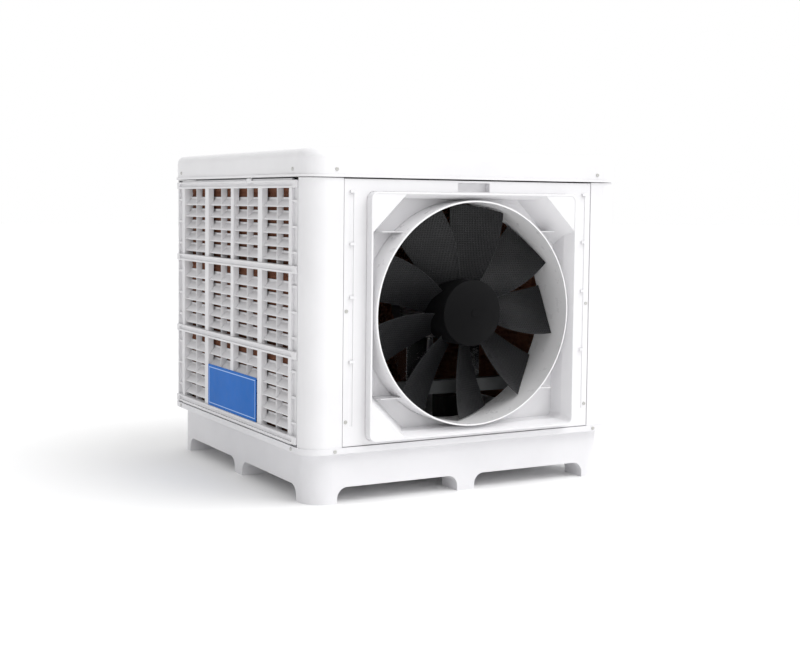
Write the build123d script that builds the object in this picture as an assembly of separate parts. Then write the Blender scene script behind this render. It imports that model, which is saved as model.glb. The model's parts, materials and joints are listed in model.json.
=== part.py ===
"""Side-discharge evaporative cooler.

Frame: millimetres, +Z up, origin on the floor under the middle of the cabinet.
The fan blows out of the front, which faces -Y. Air comes in through the left (-X),
right (+X) and rear (+Y) louvre panels and the wet pads behind them.
"""
from build123d import *
import math
import os

# ---------------------------------------------------------------- driving sizes
cabinet_width = 1088.0        # across the corner columns, X
cabinet_depth = 1088.0        # across the corner columns, Y
wall = 4.0                    # moulded plastic wall
seam_gap = 2.0                # dark joint between neighbouring mouldings
fit_gap = 0.5                 # clearance between pieces that seat on each other
column_radius = 66.0          # rounded outer corner of each column

# Base tank
base_height = 166.0           # floor to the top of the tank rim
base_inset = 24.0             # skirt set in from the columns
base_radius = 72.0
base_wall = 6.0
rim_height = 18.0             # rim band round the top of the tank
rim_proud = 3.0               # rim band stands out past the columns
tank_floor_top = 56.0
fork_height = 47.0            # height of the fork ways
fork_arch_radius = 32.0
foot_middle_width = 60.0      # middle foot of each side
foot_corner_width = 88.0      # straight part of each corner foot
foot_split_drop = 9.0         # feet end this far under the top of the fork ways
rim_edge_radius = 2.0

# Top cover
cover_bottom = 930.0
cover_height = 80.0
cover_overhang = 6.0          # cover stands out past the columns
cover_edge_radius = 26.0
cover_lip_height = 8.0
cover_lip_in = 4.0            # cover wall set in above its lip

# Corner columns
column_front_width = 114.0    # column face beside the fan panel
column_side_width = 58.0      # column face beside a louvre panel
column_flange = 30.0          # return flange behind each edge

# Fan panel and outlet frame
panel_inset = 1.0             # fan panel face set back from the columns
outlet_center_z = 535.0
outlet_wall = 6.0
outlet_proud = 28.0           # outlet frame stands out from the columns
outlet_floor_depth = 96.0     # from the frame's front edge to the plate behind it
outlet_bevel = 12.0           # inner walls slope in by this
outlet_bevel_depth = 40.0
outlet_corner_radius = 16.0
outlet_edge_radius = 1.5
outlet_flange = 7.0           # flange behind the fan panel, all round
outlet_flange_thickness = 3.0
grip_width = 110.0            # hand slot over the outlet
grip_height = 26.0
grip_depth = 22.0
grip_sill = 2.0               # wall under the hand slot
lug_x = 403.0                 # guide lugs down both margins of the fan panel
lug_heights = [890.0, 743.0, 592.0, 409.0]
lug_half = 8.0
lug_proud = 7.0
groove_half = 5.0             # shallow groove that joins the lugs
groove_depth = 1.5
groove_drop = 185.0           # groove runs on below the last lug

# Fan duct
duct_radius = 334.0           # outside of the round duct
duct_margin = 16.0            # duct to the inside of the square outlet frame
duct_wall = 5.0
duct_proud = 20.0             # duct lip stands out from the columns
duct_length = 152.0
duct_flange = 15.0
gusset_leg = 108.0            # corner blocks between duct and outlet frame, at the front
gusset_back_leg = 165.0       # and at the plate behind
gusset_set_in = 1.0
fin_height = 241.0            # fins beside the duct, above and below its axis
fin_end = 300.0
fin_sheet = 3.0
fin_set_in = 40.0             # fin front edge behind the frame's front edge

# Fan
blade_count = 9
blade_first_angle = -1.0
tip_clearance = 6.0
hub_radius = 99.0
hub_depth = 112.0
hub_wall = 4.0
hub_front_back = 21.0         # hub rim behind the duct lip
hub_dome_rise = 16.0
blade_front_back = 62.0       # blade front edge behind the duct lip
blade_thickness = 3.4
blade_root_chord = 98.0
blade_middle_chord = 146.0
blade_tip_chord = 164.0
blade_root_pitch = 42.0       # degrees from the plane of the fan
blade_tip_pitch = 27.0
blade_camber = 11.0
blade_sweep = 14.0            # the front edge bulges by this at half span
blade_tip_sweep = 6.0
blade_root_sink = 2.0         # blade root set into the hub's wall
blade_tip_trim = 6.0          # blade drawn past its tip, then cut round
hub_web = 8.0
hub_boss_radius = 26.0
cap_skirt = 10.0
cap_plate = 3.0
nose_radius = 12.0
nose_proud = 1.5
shaft_radius = 12.0
shaft_seat = 0.02             # radial clearance of hub and rotor on the shaft
shaft_fit = 0.03              # radial clearance of the shaft in its bearings
bearing_radius = 26.0
bearing_width = 15.0

# Motor and its bracket
motor_radius = 80.0           # over the fins
motor_core_radius = 66.0
motor_wall = 6.0
motor_length = 150.0
motor_gap = 34.0              # hub back to motor front
motor_cap_depth = 22.0
cowl_depth = 38.0
fin_count = 44
fin_thickness = 2.6
stator_wall = 14.0
air_gap = 1.0                 # rotor to stator
beam_height = 40.0            # cross beam behind the duct
beam_depth = 30.0
beam_wall = 3.0
beam_drop = 236.0             # cross beam below the fan's axis
beam_half = 290.0
bracket_half = 130.0
bracket_leg = 70.0
bracket_sheet = 4.0
motor_foot_width = 30.0
motor_foot_in = 30.0
motor_foot_drop = 4.0
cowl_slots = 7
cowl_slot_pitch = 16.0
cowl_slot_half = 38.0

# Louvre panels and pads
rail_height = 22.0
rail_count = 4
rail_low_gap = 7.0             # tank rim to the lowest rail
rail_high_gap = 9.0            # top rail to the cover
rail_proud = 6.0              # rails stand out past the columns
rail_groove = 5.0             # depth of the groove along a rail
rail_groove_height = 10.0
rail_end_block = 24.0         # plain end of a rail
side_margin = 60.0            # panel edge to the first opening
flush_margin = 22.0           # part of the margin that is flush
margin_recess = 8.0
mullion_wide = 32.0
mullion_middle = 24.0
panel_sheet = 6.0
panel_depth = 26.0            # panel face to the back of the slats
rib_thickness = 3.0
cell_wall = 3.0
cell_wall_depth = 18.0
slat_rows = 5
slat_start = 11.0             # rail top to the first slat
slat_end = 16.0               # last row of slats to the next rail
slat_rise = 19.0
slat_lip = 6.0
slat_thickness = 2.2
slat_set_in = 6.0
hook_rows = 3
hook_height = 7.0
pad_thickness = 80.0
pad_tray_wall = 2.5
pad_tray_lip = 9.0
pad_fit = 1.0                 # clearance of a pad in its frame
pad_top_margin = 6.0
catch_offset = 144.0
catch_width = 34.0
catch_height = 14.0
catch_thickness = 5.0
catch_travel = 5.0

# Name plate
plate_margin = 4.0            # plate edge to the end of the openings behind it
plate_height = 134.0
plate_thickness = 2.0
plate_pin_radius = 2.5
plate_pin_drop = 16.0
plate_corner = 3.0

# Water system
header_width = 46.0
header_height = 22.0
header_wall = 2.5
header_hole_radius = 2.0
header_hole_pitch = 50.0
header_overlap = 12.0         # header end resting on a column
header_corner_gap = 5.0
header_link_radius = 9.0
riser_radius = 12.5
riser_wall = 2.0
riser_x = 395.0
pump_x = 300.0
pump_y = 80.0
pump_side = 84.0
pump_height = 110.0
pump_wall = 3.0
strainer_height = 24.0
pump_impeller_radius = 28.0
pump_shaft_radius = 4.0
pump_shaft_reach = 30.0
pump_corner = 8.0
pump_motor_low = 20.0         # pump shaft's bearing length
pump_outlet_drop = 30.0
pump_vanes = 6
strainer_slots = 5
strainer_slot_pitch = 14.0
float_x = -330.0
float_axis_z = 128.0
float_arm_length = 160.0
float_arm_radius = 2.5
float_radius = 22.0
float_length = 80.0
float_body_side = 26.0
float_ear = 5.0
float_ear_reach = 10.0
float_eye = 7.0
float_pin_radius = 3.0
float_socket = 6.0            # how far the arm enters the float
inlet_radius = 10.5
inlet_length = 26.0
inlet_shoulder = 3.0
drain_x = 300.0
drain_z = 84.0
drain_radius = 13.0
drain_length = 26.0
drain_body_radius = 18.0
drain_body_length = 16.0
drain_stem_radius = 4.0
drain_handle = 46.0
overflow_x = -200.0
overflow_y = -300.0
overflow_radius = 20.0
overflow_top_z = 132.0
overflow_reach = 8.0          # below the tank floor

# Controls
box_width = 110.0
box_height = 130.0
box_depth = 55.0
box_wall = 3.0
box_corner_x = 300.0
box_corner_z = 760.0
gland_set_back = 144.0         # behind the front of the columns
gland_z = 128.0
gland_radius = 10.0
gland_nut_radius = 13.0
gland_bore = 6.5
gland_length = 22.0

# Fasteners
screw_head_radius = 5.5
screw_head_height = 2.4
screw_shank_radius = 2.0
screw_length = 8.0
bolt_head_radius = 7.5
bolt_head_height = 5.5
bolt_shank_radius = 4.0
hole_gap = 0.2                # radial clearance of a screw in its hole
panel_screw_inset = 9.0
panel_screw_heights = [238.0, 553.0]
corner_screw_inset = 91.0     # rim and cover screws in from the corner
cover_screw_height = 22.0     # above the cover's foot
duct_screws = 8
motor_bolt_length = 16.0
bracket_bolt_length = 12.0

# ---------------------------------------------------------------- derived places
half_x = cabinet_width / 2
half_y = cabinet_depth / 2
front = -half_y
tank_rim_bottom = base_height - rim_height
column_bottom = base_height
column_top = cover_bottom - seam_gap
panel_bottom = base_height + seam_gap
panel_top = cover_bottom - 2 * seam_gap
panel_half = half_x - column_front_width - seam_gap
outlet_front = front - outlet_proud
outlet_floor = outlet_front + outlet_floor_depth
outlet_back = outlet_floor + wall
flange_front = front + panel_inset + wall
flange_back = flange_front + outlet_flange_thickness
duct_front = front - duct_proud
duct_back = duct_front + duct_length
duct_bore = duct_radius - duct_wall
outlet_half = duct_radius + duct_margin
fan_radius = duct_bore - tip_clearance
hub_front = duct_front + hub_front_back
hub_back = hub_front + hub_depth
blade_front = duct_front + blade_front_back
motor_front = hub_back + motor_gap
motor_back = motor_front + motor_length
fan_z = outlet_center_z
gland_y = front + gland_set_back
side_half = half_y - column_side_width - seam_gap
rear_half = half_x - column_side_width - seam_gap
first_rail_z = base_height + rail_low_gap + rail_height / 2
last_rail_z = cover_bottom - rail_high_gap - rail_height / 2
rail_pitch = (last_rail_z - first_rail_z) / (rail_count - 1)
rail_zs = [first_rail_z + rail_pitch * i for i in range(rail_count)]
slat_pitch = (rail_pitch - rail_height - slat_start - slat_end) / slat_rows
louvre_bottom = rail_zs[0] - rail_height / 2
louvre_top = rail_zs[-1] + rail_height / 2
pad_bottom = louvre_bottom + pad_tray_wall + pad_fit
pad_top = louvre_top - pad_top_margin
header_bottom = column_top
header_center_z = header_bottom + header_height / 2


# ---------------------------------------------------------------- helpers
def block(x0, x1, y0, y1, z0, z1):
    """A box from its lowest to its highest corner."""
    size = (x1 - x0, y1 - y0, z1 - z0)
    return Pos((x0 + x1) / 2, (y0 + y1) / 2, (z0 + z1) / 2) * Box(*size)


def tower(width, depth, radius, z0, z1):
    """An upright block with rounded corners, centred on the Z axis."""
    outline = RectangleRounded(width, depth, radius)
    return Pos(0, 0, z0) * extrude(outline, z1 - z0)


def along_y(radius, y0, y1, x=0.0, z=0.0):
    """A round bar along Y."""
    return Pos(x, (y0 + y1) / 2, z) * Rot(90, 0, 0) * Cylinder(radius, y1 - y0)


def along_x(radius, x0, x1, y=0.0, z=0.0):
    """A round bar along X."""
    return Pos((x0 + x1) / 2, y, z) * Rot(0, 90, 0) * Cylinder(radius, x1 - x0)


def along_z(radius, z0, z1, x=0.0, y=0.0):
    """A round bar along Z."""
    return Pos(x, y, (z0 + z1) / 2) * Cylinder(radius, z1 - z0)


def upright(outline, y0, y1):
    """An outline drawn in X and Z, made solid from y0 to y1."""
    return Pos(0, y1, 0) * Rot(90, 0, 0) * extrude(outline, y1 - y0)


def save(name, shape):
    """Write one sub-part."""
    export_step(shape, "parts/" + name + ".step")


# ---------------------------------------------------------------- base tank
def fork_way(length, low, high):
    """One fork way's outline swept along Y, between low and high in X."""
    middle = (low + high) / 2
    outline = Pos(middle, 0) * Rectangle(high - low, 2 * fork_height)
    top_corners = outline.vertices().group_by(Axis.Y)[-1]
    outline = fillet(top_corners, fork_arch_radius)
    return upright(outline, -length / 2, length / 2)


def make_base():
    """The base moulding in three nodes: walls and rim, floor, and nine feet between fork ways."""
    base_x = cabinet_width - 2 * base_inset
    base_y = cabinet_depth - 2 * base_inset
    tank = tower(base_x, base_y, base_radius, 0, base_height)
    rim_x = cabinet_width + 2 * rim_proud
    rim_y = cabinet_depth + 2 * rim_proud
    rim = tower(rim_x, rim_y, column_radius, tank_rim_bottom, base_height)
    tank += fillet(rim.edges().group_by(Axis.Z)[0], rim_edge_radius)
    inner = (base_x - 2 * base_wall, base_y - 2 * base_wall, base_radius - base_wall)
    tank -= tower(*inner, tank_floor_top, base_height + 1)
    way_low = foot_middle_width / 2
    way_high_x = base_x / 2 - foot_corner_width
    way_high_y = base_y / 2 - foot_corner_width
    long_way = 2 * max(base_x, base_y)
    for side in (-1, 1):
        low, high = sorted((side * way_low, side * way_high_x))
        tank -= fork_way(long_way, low, high)
        low, high = sorted((side * way_low, side * way_high_y))
        tank -= Rot(0, 0, 90) * fork_way(long_way, low, high)
    split = fork_height - foot_split_drop
    inside = tower(*inner, split, tank_floor_top + 1)
    below = tower(rim_x, rim_y, base_radius, -1, split)
    walls = straights_and_corners(tank - below - inside, base_x, base_y)
    return walls, (tank & inside), tank & below


def straights_and_corners(ring, width, depth):
    """The ring of walls as eight solids that meet face to face: four straight walls, four corners."""
    straight_x = width / 2 - base_radius
    straight_y = depth / 2 - base_radius
    across = block(-straight_x, straight_x, -depth, depth, 0, base_height + 1)
    along = block(-width, width, -straight_y, straight_y, 0, base_height + 1)
    corners = ring - across - along
    solids = (ring & across).solids() + (ring & along).solids() + corners.solids()
    return Compound(list(solids))


# ---------------------------------------------------------------- casing
def ring_wall(width, depth, radius, thickness, z0, z1):
    """A closed upright wall with rounded corners."""
    outer = tower(width, depth, radius, z0, z1)
    inner = tower(width - 2 * thickness, depth - 2 * thickness, radius - thickness, z0 - 1, z1 + 1)
    return outer - inner


def make_columns():
    """Four corner columns by name, each an angle with a rounded corner and return flanges."""
    shell = ring_wall(cabinet_width, cabinet_depth, column_radius, wall, column_bottom, column_top)
    columns = {}
    for side_x, x_name in ((-1, "left"), (1, "right")):
        for y_name in ("front", "rear"):
            side_y = -1 if y_name == "front" else 1
            run_x = column_front_width if y_name == "front" else column_side_width
            x_out = side_x * (half_x + 1)
            y_out = side_y * (half_y + 1)
            x_in = side_x * (half_x - run_x)
            y_in = side_y * (half_y - column_side_width)
            low_x, high_x = sorted((x_out, x_in))
            low_y, high_y = sorted((y_out, y_in))
            corner = block(low_x, high_x, low_y, high_y, column_bottom, column_top)
            column = shell & corner
            x_flange = sorted((x_in, x_in + side_x * wall))
            y_flange = sorted((side_y * (half_y - wall / 2), side_y * (half_y - column_flange)))
            column += block(*x_flange, *y_flange, column_bottom, column_top)
            y_flange = sorted((y_in, y_in + side_y * wall))
            x_flange = sorted((side_x * (half_x - wall / 2), side_x * (half_x - column_flange)))
            column += block(*x_flange, *y_flange, column_bottom, column_top)
            columns[y_name + "_" + x_name + "_column"] = column
    return columns


def make_top_cover():
    """Hollow cover with a large rounded top edge and a small lip round its foot."""
    outer_x = cabinet_width + 2 * cover_overhang
    outer_y = cabinet_depth + 2 * cover_overhang
    radius = column_radius + cover_overhang
    top = cover_bottom + cover_height
    body = tower(outer_x - 2 * cover_lip_in, outer_y - 2 * cover_lip_in,
                 radius - cover_lip_in, cover_bottom, top)
    body = fillet(body.edges().group_by(Axis.Z)[-1], cover_edge_radius)
    body += tower(outer_x, outer_y, radius, cover_bottom, cover_bottom + cover_lip_height)
    inset = cover_lip_in + wall
    hollow = tower(outer_x - 2 * inset, outer_y - 2 * inset, radius - inset,
                   cover_bottom - 1, top - wall)
    hollow = fillet(hollow.edges().group_by(Axis.Z)[-1], cover_edge_radius - wall)
    return body - hollow


# ---------------------------------------------------------------- fan panel
def frame_outline(grow):
    """Outside of the square outlet frame, grown all round."""
    side = 2 * (outlet_half + outlet_wall + grow)
    return Pos(0, outlet_center_z) * RectangleRounded(side, side, outlet_corner_radius + outlet_wall + grow)


def make_fan_panel():
    """Front panel with a square hole for the outlet frame, a hand slot and guide lugs."""
    face = front + panel_inset
    panel = block(-panel_half, panel_half, face, face + wall, panel_bottom, panel_top)
    for side in (-1, 1):
        edge = sorted((side * panel_half, side * (panel_half - wall)))
        panel += block(*edge, face, face + column_flange, panel_bottom, panel_top)
    grip = block(-grip_width / 2, grip_width / 2, face - 1, face + grip_depth,
                 grip_bottom(), grip_bottom() + grip_height)
    pocket = block(-grip_width / 2 - wall, grip_width / 2 + wall, face, face + grip_depth + wall,
                   grip_bottom() - grip_sill, grip_bottom() + grip_height + wall)
    panel += pocket
    panel -= grip
    panel -= upright(frame_outline(fit_gap), face - 1, face + wall + 1)
    for side in (-1, 1):
        for height in lug_heights:
            panel += block(side * lug_x - lug_half, side * lug_x + lug_half,
                           face - lug_proud, face, height - lug_half / 2, height + lug_half / 2)
        groove = block(side * lug_x - groove_half, side * lug_x + groove_half,
                       face - 1, face + groove_depth, lug_heights[-1] - groove_drop, lug_heights[0])
        panel -= groove
    return panel


def outlet_hollow():
    """Inside of the outlet frame: a sloping mouth and a straight part down to the plate."""
    mouth = RectangleRounded(2 * outlet_half, 2 * outlet_half, outlet_corner_radius)
    throat_side = 2 * (outlet_half - outlet_bevel)
    throat = RectangleRounded(throat_side, throat_side, outlet_corner_radius)
    throat_y = outlet_front + outlet_bevel_depth
    sections = [upright_face(mouth, outlet_front), upright_face(throat, throat_y)]
    deep = upright(Pos(0, outlet_center_z) * throat, throat_y - 1, outlet_floor)
    return loft(sections) + deep


def upright_face(outline, y):
    """An outline drawn round the outlet's centre, stood up at y."""
    return Plane(origin=(0, y, outlet_center_z), x_dir=(1, 0, 0), z_dir=(0, -1, 0)) * outline


def make_outlet_frame():
    """Proud square frame, the plate round the duct, corner blocks and a flange behind the panel."""
    rim = upright(frame_outline(0), outlet_front, outlet_back)
    rim = fillet(rim.edges().group_by(Axis.Y)[0], outlet_edge_radius)
    core = upright(frame_outline(-outlet_wall / 2), outlet_front, outlet_back)
    rim -= outlet_hollow()
    reach = outlet_half + outlet_wall + outlet_flange
    flange = upright(frame_outline(outlet_flange) - frame_outline(0), flange_front, flange_back)
    rim += flange & block(-reach, reach, flange_front, flange_back,
                          outlet_center_z - reach, outlet_center_z + outlet_half)
    rim += [web & core for web in make_gussets()]
    bore = duct_radius + seam_gap / 4
    for side_x in (-1, 1):
        for side_z in (-1, 1):
            z = outlet_center_z + side_z * fin_height
            xs = sorted((side_x * fin_end, side_x * math.sqrt(bore ** 2 - fin_height ** 2)))
            rim += block(*xs, outlet_front + fin_set_in, outlet_back, z - fin_sheet / 2, z + fin_sheet / 2)
    return rim - along_y(bore, outlet_front - 1, outlet_back + 1, z=outlet_center_z)


def grip_bottom():
    """Foot of the hand slot, just over the outlet frame."""
    return outlet_center_z + outlet_half + outlet_wall + fit_gap + grip_sill


def make_gussets():
    """Three corner blocks that slope from the frame's front edge down to the plate."""
    webs = []
    for side_x, side_z in ((-1, 1), (1, 1), (-1, -1)):
        sections = []
        for leg, y in ((gusset_leg, outlet_front + gusset_set_in),
                       (gusset_back_leg, outlet_floor + wall / 2)):
            corner = (side_x * outlet_half, side_z * outlet_half)
            across = (corner[0] - side_x * leg, corner[1])
            down = (corner[0], corner[1] - side_z * leg)
            sections.append(upright_face(make_face(Polyline(corner, across, down, corner)), y))
        webs.append(loft(sections))
    return webs


def make_duct():
    """Round duct with a rounded lip, a front flange and a rear flange."""
    barrel = along_y(duct_radius, duct_front, duct_back, z=fan_z)
    barrel = fillet(barrel.edges().group_by(Axis.Y)[0], duct_wall / 2 - 0.1)
    flange_front = outlet_back + fit_gap
    barrel += along_y(duct_radius + duct_flange, flange_front, flange_front + wall, z=fan_z)
    barrel += along_y(duct_radius + duct_flange, duct_back - wall, duct_back, z=fan_z)
    bore = along_y(duct_bore, duct_front - 1, duct_back + 1, z=fan_z)
    return barrel - bore


# ---------------------------------------------------------------- fan
def blade_section(chord):
    """Thin cambered section, chord along X, bowed towards the inlet side."""
    half = chord / 2
    edge = blade_thickness / 4
    thick = blade_thickness / 2
    front_arc = ThreePointArc((-half, edge), (0, thick - blade_camber), (half, edge))
    back_arc = ThreePointArc((half, -edge), (0, -thick - blade_camber), (-half, -edge))
    ends = [Line((half, edge), (half, -edge)), Line((-half, -edge), (-half, edge))]
    return make_face([front_arc, back_arc] + ends)


def make_blade():
    """One twisted, cambered blade, root at the hub and tip inside the duct, pointing along +X."""
    sections = []
    root_radius = hub_radius - blade_root_sink
    stations = [(0.0, blade_root_chord, 0.0), (0.5, blade_middle_chord, blade_sweep),
                (1.0, blade_tip_chord, blade_tip_sweep)]
    for share, chord, sweep in stations:
        radius = root_radius + share * (fan_radius + blade_tip_trim - root_radius)
        pitch = blade_root_pitch + share * (blade_tip_pitch - blade_root_pitch)
        deep = blade_root_chord / 2 * math.sin(math.radians(blade_root_pitch))
        place = Plane(origin=(radius, blade_front + deep, -sweep), x_dir=(0, 0, 1), z_dir=(1, 0, 0))
        sections.append(place * Rot(0, 0, -pitch) * blade_section(chord))
    return loft(sections)


def make_hub():
    """Cup-shaped hub with an inner boss for the shaft and a web between them."""
    shell = along_y(hub_radius, hub_front, hub_back)
    shell -= along_y(hub_radius - hub_wall, hub_front - 1, hub_web_front())
    shell -= along_y(hub_radius - hub_wall, hub_web_front() + hub_web, hub_back + 1)
    shell += along_y(hub_boss_radius, hub_web_front(), hub_back)
    shell -= along_y(shaft_radius + shaft_seat, hub_front - 1, hub_back + 1)
    return Pos(0, 0, fan_z) * shell


def hub_web_front():
    """Front of the plate inside the hub."""
    return hub_front + hub_depth * 0.45


def make_hub_cap():
    """Shallow domed cap over the whole front of the hub, with a small raised nose."""
    rise = hub_dome_rise
    sphere_radius = (hub_radius ** 2 + rise ** 2) / (2 * rise)
    ball = Pos(0, hub_front + sphere_radius - rise, 0) * Sphere(sphere_radius)
    cap = ball & along_y(hub_radius, hub_front - rise - 1, hub_front)
    skirt_radius = hub_radius - hub_wall - fit_gap
    cap += along_y(skirt_radius, hub_front, hub_front + cap_skirt)
    cap -= along_y(skirt_radius - hub_wall, hub_front + cap_plate, hub_front + cap_skirt + 1)
    cap += along_y(nose_radius, hub_front - rise - nose_proud, hub_front)
    return Pos(0, 0, fan_z) * cap


# ---------------------------------------------------------------- motor
def make_motor_housing():
    """Finned tube of the motor with two feet."""
    tube = along_y(motor_core_radius, motor_front, motor_back)
    fin_height = motor_radius - motor_core_radius + 1
    for index in range(fin_count):
        angle = 360.0 * index / fin_count
        fin = block(motor_core_radius - 1, motor_core_radius - 1 + fin_height,
                    motor_front, motor_back, -fin_thickness / 2, fin_thickness / 2)
        tube += Rot(0, angle, 0) * fin
    for side in (-1, 1):
        x0, x1 = sorted((side * motor_foot_in, side * (motor_foot_in + motor_foot_width)))
        tube += block(x0, x1, motor_front + fin_thickness, motor_back - fin_thickness,
                      -motor_radius - motor_foot_drop, -motor_core_radius * 0.6)
    tube -= along_y(motor_core_radius - motor_wall, motor_front - 1, motor_back + 1)
    return Pos(0, 0, fan_z) * tube


def make_motor_bells():
    """Front and rear end covers, each with a bearing seat on the shaft's line."""
    spigot = motor_core_radius - motor_wall - fit_gap
    front_bell = along_y(motor_core_radius, motor_front - motor_cap_depth, motor_front)
    front_bell = fillet(front_bell.edges().group_by(Axis.Y)[0], wall)
    front_bell += along_y(spigot, motor_front, motor_front + wall)
    front_seat = motor_front - motor_cap_depth + wall
    front_bell -= along_y(bearing_radius + fit_gap, front_seat, motor_front + wall + 1)
    front_bell -= along_y(shaft_radius + 1, motor_front - motor_cap_depth - 1, front_seat)
    rear_bell = along_y(motor_core_radius, motor_back, motor_back + motor_cap_depth)
    rear_bell += along_y(spigot, motor_back - wall, motor_back)
    rear_seat = motor_back + motor_cap_depth - wall
    rear_bell -= along_y(bearing_radius + fit_gap, motor_back - wall - 1, rear_seat)
    return Pos(0, 0, fan_z) * front_bell, Pos(0, 0, fan_z) * rear_bell, front_seat, rear_seat


def make_bearing(start):
    """One ball bearing, drawn as its outer envelope."""
    ring = along_y(bearing_radius, start, start + bearing_width, z=fan_z)
    return ring - along_y(shaft_radius + shaft_fit, start - 1, start + bearing_width + 1, z=fan_z)


def make_stator():
    """Wound stator inside the housing."""
    outer = motor_core_radius - motor_wall - fit_gap
    start = motor_front + 3 * wall
    end = motor_back - 3 * wall
    ring = along_y(outer, start, end, z=fan_z)
    return ring - along_y(outer - stator_wall, start - 1, end + 1, z=fan_z)


def make_rotor():
    """Rotor that turns inside the stator, on the shaft."""
    radius = motor_core_radius - motor_wall - fit_gap - stator_wall - air_gap
    start = motor_front + 4 * wall
    end = motor_back - 4 * wall
    body = along_y(radius, start, end, z=fan_z)
    return body - along_y(shaft_radius + shaft_seat, start - 1, end + 1, z=fan_z)


def make_cowl():
    """Pressed rear cowl of the motor."""
    start = motor_back + motor_cap_depth
    cup = along_y(motor_radius, motor_back + fit_gap, start + cowl_depth)
    cup = fillet(cup.edges().group_by(Axis.Y)[-1], wall)
    cup -= along_y(motor_radius - 2, motor_back - 1, start + cowl_depth - 2)
    for index in range(cowl_slots):
        offset = (index - (cowl_slots - 1) / 2) * cowl_slot_pitch
        cup -= block(-cowl_slot_half, cowl_slot_half, start + cowl_depth - 3, start + cowl_depth + 1,
                     offset - cowl_slot_pitch / 4, offset + cowl_slot_pitch / 4)
    return Pos(0, 0, fan_z) * cup


def make_beam():
    """Rectangular steel tube across the back of the duct."""
    z0 = fan_z - beam_drop - beam_height / 2
    y0 = duct_back + fit_gap
    tube = block(-beam_half, beam_half, y0, y0 + beam_depth, z0, z0 + beam_height)
    inner = block(-beam_half - 1, beam_half + 1, y0 + beam_wall, y0 + beam_depth - beam_wall,
                  z0 + beam_wall, z0 + beam_height - beam_wall)
    return tube - inner


def bracket_shelf_z():
    """Top of the shelf that the motor's feet stand on."""
    return fan_z - motor_radius - motor_foot_drop


def make_bracket():
    """Folded stainless bracket: two legs on the beam, a shelf and side webs."""
    face = duct_back + fit_gap + beam_depth
    top = bracket_shelf_z()
    foot = fan_z - beam_drop - beam_height / 2
    shelf_end = motor_back + fin_thickness
    bracket = block(-bracket_half, bracket_half, face, shelf_end, top - bracket_sheet, top)
    for side in (-1, 1):
        x0, x1 = sorted((side * bracket_half, side * (bracket_half - bracket_leg)))
        bracket += block(x0, x1, face, face + bracket_sheet, foot, top)
        web = Polyline((face, foot), (face, top), (shelf_end, top), (face, foot))
        web = make_face(Plane.YZ * web)
        x0, x1 = sorted((side * bracket_half, side * (bracket_half - bracket_sheet)))
        bracket += Pos(x0, 0, 0) * extrude(web, x1 - x0, dir=(1, 0, 0))
    return bracket


# ---------------------------------------------------------------- louvre panels
# Each panel is drawn facing +Y at a given distance from the centre, then turned.
def opening_spans(half):
    """X ranges of the four openings of one section, from left to right."""
    end = half - side_margin
    width = (end - mullion_middle / 2 - mullion_wide) / 2
    inner = (mullion_middle / 2, mullion_middle / 2 + width)
    outer = (end - width, end)
    return [(-outer[1], -outer[0]), (-inner[1], -inner[0]), inner, outer]


def section_spans():
    """Z ranges between neighbouring rails."""
    edge = rail_height / 2
    return [(low + edge, high - edge) for low, high in zip(rail_zs, rail_zs[1:])]


def slat_bar(face, end, z0):
    """One sloping slat with an upright inner lip, along X."""
    outer_y = face - slat_set_in
    inner_y = face - panel_depth + slat_thickness
    drop = slat_thickness * 1.4
    outline = Polyline(
        (outer_y, z0 + drop),
        (inner_y, z0 + drop + slat_rise),
        (inner_y, z0 + drop + slat_rise + slat_lip),
        (inner_y - slat_thickness, z0 + drop + slat_rise + slat_lip),
        (inner_y - slat_thickness, z0 + slat_rise + slat_thickness / 2),
        (outer_y, z0),
        (outer_y, z0 + drop),
    )
    return Pos(-end, 0, 0) * extrude(make_face(Plane.YZ * outline), 2 * end, dir=(1, 0, 0))


def rail_bar(face, half, height):
    """One proud rail with a groove between its two lips."""
    edge = rail_height / 2
    bar = block(-half, half, face - panel_sheet, face + rail_proud, height - edge, height + edge)
    groove = block(-half + rail_end_block, half - rail_end_block,
                   face + rail_proud - rail_groove, face + rail_proud + 1,
                   height - rail_groove_height / 2, height + rail_groove_height / 2)
    return bar - groove


def make_louvre(face, half):
    """Whole louvre panel: sheet, cell walls, slats, ribs, rails and side hooks."""
    end = half - side_margin
    flush = end + flush_margin
    back = face - panel_sheet
    panel = block(-flush, flush, back, face, panel_bottom, panel_top)
    extras = []
    for x0, x1 in opening_spans(half):
        for z0, z1 in section_spans():
            panel -= block(x0, x1, back - 1, face + 1, z0, z1)
            ring = block(x0 - cell_wall, x1 + cell_wall, face - cell_wall_depth, back,
                         z0 - cell_wall, z1 + cell_wall)
            extras.append(ring - block(x0, x1, face - panel_depth, face, z0, z1))
            middle = (x0 + x1) / 2
            extras.append(block(middle - rib_thickness / 2, middle + rib_thickness / 2,
                                face - panel_depth, back, z0 - 1, z1 + 1))
    for z0, _ in section_spans():
        for row in range(slat_rows):
            extras.append(slat_bar(face, end + 1, z0 + slat_start + row * slat_pitch))
    for side in (-1, 1):
        low, high = sorted((side * flush, side * half))
        deep = face - margin_recess - panel_sheet
        extras.append(block(low, high, deep, face - margin_recess, louvre_bottom, louvre_top))
        for at in (flush - cell_wall, half - cell_wall):
            wall_x = sorted((side * at, side * (at + cell_wall)))
            extras.append(block(*wall_x, deep, face, louvre_bottom, louvre_top))
        for z0, z1 in section_spans():
            for row in range(hook_rows):
                height = z0 + (z1 - z0) * (row + 0.5) / hook_rows
                extras.append(block(low, high, face - margin_recess - 1, face - 1,
                                    height - hook_height / 2, height + hook_height / 2))
    extras += [rail_bar(face, half, height) for height in rail_zs]
    panel += extras
    notch = catch_block(face, fit_gap * 2)
    return panel - notch


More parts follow.
